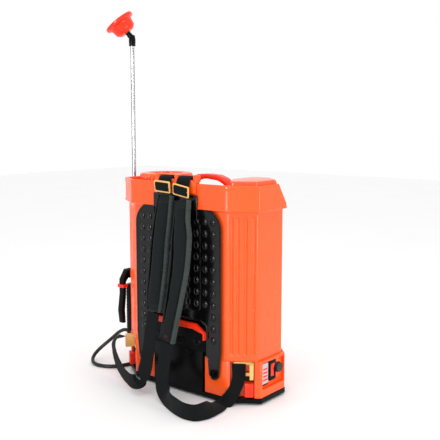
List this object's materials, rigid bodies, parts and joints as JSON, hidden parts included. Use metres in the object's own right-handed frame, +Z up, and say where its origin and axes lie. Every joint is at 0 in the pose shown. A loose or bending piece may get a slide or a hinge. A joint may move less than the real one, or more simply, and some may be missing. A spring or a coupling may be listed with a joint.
{
  "type": "backpack sprayer",
  "caption": "Battery backpack sprayer: fluted tank with screw lid and carry handle, padded shoulder straps, back pad, removable battery, pump base, trigger gun, lance and spray cup.",
  "frame": {"origin": "on the floor under the middle of the tank, at the centre of the base plate's middle foot", "axes": "+Z up, +X to the wearer's right-hand side as seen facing the back pad, -Y towards the wearer"},
  "size_m": [0.5156, 0.4527, 0.8697],
  "materials": {
    "tank_plastic": "satin",
    "red_plastic": "gloss",
    "black_plastic": "satin",
    "grey_plastic": "matt",
    "tan_plastic": "satin",
    "pad_fabric": "woven",
    "webbing": "woven",
    "steel": "polished",
    "rubber": "matt",
    "brass": "machined",
    "window": "gloss",
    "winding": "wound"
  },
  "bodies": {
    "sprayer": {"tank_shell": "tank_plastic", "strainer_basket": "black_plastic", "carry_handle": "red_plastic", "strap_bracket": "tank_plastic", "strap_bar": "steel", "left_upper_webbing": "webbing", "left_triglide": "tan_plastic", "left_shoulder_pad": "pad_fabric", "left_lower_webbing": "webbing", "right_upper_webbing": "webbing", "right_triglide": "tan_plastic", "right_shoulder_pad": "pad_fabric", "right_lower_webbing": "webbing", "back_pad": "black_plastic", "contact_block": "black_plastic", "battery_lead": "rubber", "base_skirt": "tank_plastic", "base_plate": "black_plastic", "left_strap_hook": "tan_plastic", "left_hook_peg": "red_plastic", "right_strap_hook": "tan_plastic", "right_hook_peg": "red_plastic", "control_panel": "tank_plastic", "display_window": "window", "charging_socket": "black_plastic", "pump_head": "black_plastic", "motor_can": "steel", "tank_outlet": "black_plastic", "suction_hose": "rubber", "delivery_hose": "rubber", "outlet_fitting": "black_plastic", "gun_body": "black_plastic", "lever_pin": "steel", "hose_nut": "black_plastic", "lance_nut": "black_plastic", "lance_tube": "steel", "lance_clip_lower": "black_plastic", "lance_clip_upper": "black_plastic", "lance_elbow": "black_plastic", "nozzle_tip": "brass", "hose_run": "rubber", "hose_coil": "rubber", "hose_lead": "rubber"},
    "lid_seal": {"lid_gasket": "rubber"},
    "lid": {"lid": "tank_plastic", "lid_vent": "tank_plastic"},
    "battery": {"battery_case_lower": "black_plastic", "battery_case_upper": "black_plastic", "battery_block": "grey_plastic"},
    "battery_bail": {"battery_handle": "red_plastic"},
    "rocker": {"rocker_switch": "red_plastic"},
    "knob": {"speed_knob": "grey_plastic"},
    "cap": {"socket_cap": "rubber"},
    "rotor": {"motor_rotor": "winding"},
    "trigger": {"gun_lever": "black_plastic"},
    "trigger_lock": {"lever_lock": "red_plastic"},
    "spray_cup": {"nozzle_cup": "red_plastic"}
  },
  "joints": [
    {"name": "lid_lift", "type": "slide", "parent": "sprayer", "child": "lid_seal", "axis": [0, 0, 1], "range_m": [0, 0.06]},
    {"name": "lid_turn", "type": "hinge", "parent": "lid_seal", "child": "lid", "pos_m": [-0.112, -0.003, 0.47], "axis": [0, 0, 1], "range_deg": [0, 150]},
    {"name": "battery_slide", "type": "slide", "parent": "sprayer", "child": "battery", "axis": [0, -1, 0], "range_m": [0, 0.024]},
    {"name": "battery_bail_swing", "type": "hinge", "parent": "battery", "child": "battery_bail", "pos_m": [0, -0.084, 0.141], "axis": [1, 0, 0], "range_deg": [0, 90]},
    {"name": "rocker_press", "type": "hinge", "parent": "sprayer", "child": "rocker", "pos_m": [0.192, 0.001, 0.0685], "axis": [0, 1, 0], "range_deg": [-10, 0]},
    {"name": "knob_turn", "type": "hinge", "parent": "sprayer", "child": "knob", "pos_m": [0.195, 0.025, 0.068], "axis": [1, 0, 0], "range_deg": [0, 270]},
    {"name": "cap_flap", "type": "hinge", "parent": "sprayer", "child": "cap", "pos_m": [0.13, 0.0964, 0.057], "axis": [1, 0, 0], "range_deg": [0, 110]},
    {"name": "rotor_spin", "type": "hinge", "parent": "sprayer", "child": "rotor", "pos_m": [-0.14, 0.03, 0.05], "axis": [0, 1, 0], "continuous": true},
    {"name": "trigger_squeeze", "type": "hinge", "parent": "sprayer", "child": "trigger", "pos_m": [-0.209, -0.038, 0.238], "axis": [1, 0, 0], "range_deg": [0, 5], "stiffness_Nm_per_rad": 2, "springref_deg": -5.73},
    {"name": "trigger_lock_slide", "type": "slide", "parent": "trigger", "child": "trigger_lock", "axis": [0, 0, -1], "range_m": [0, 0.012]},
    {"name": "cup_turn", "type": "hinge", "parent": "sprayer", "child": "spray_cup", "pos_m": [-0.2102, -0.015, 0.806], "axis": [-0.4818, -0.3879, 0.7857], "continuous": true}
  ]
}
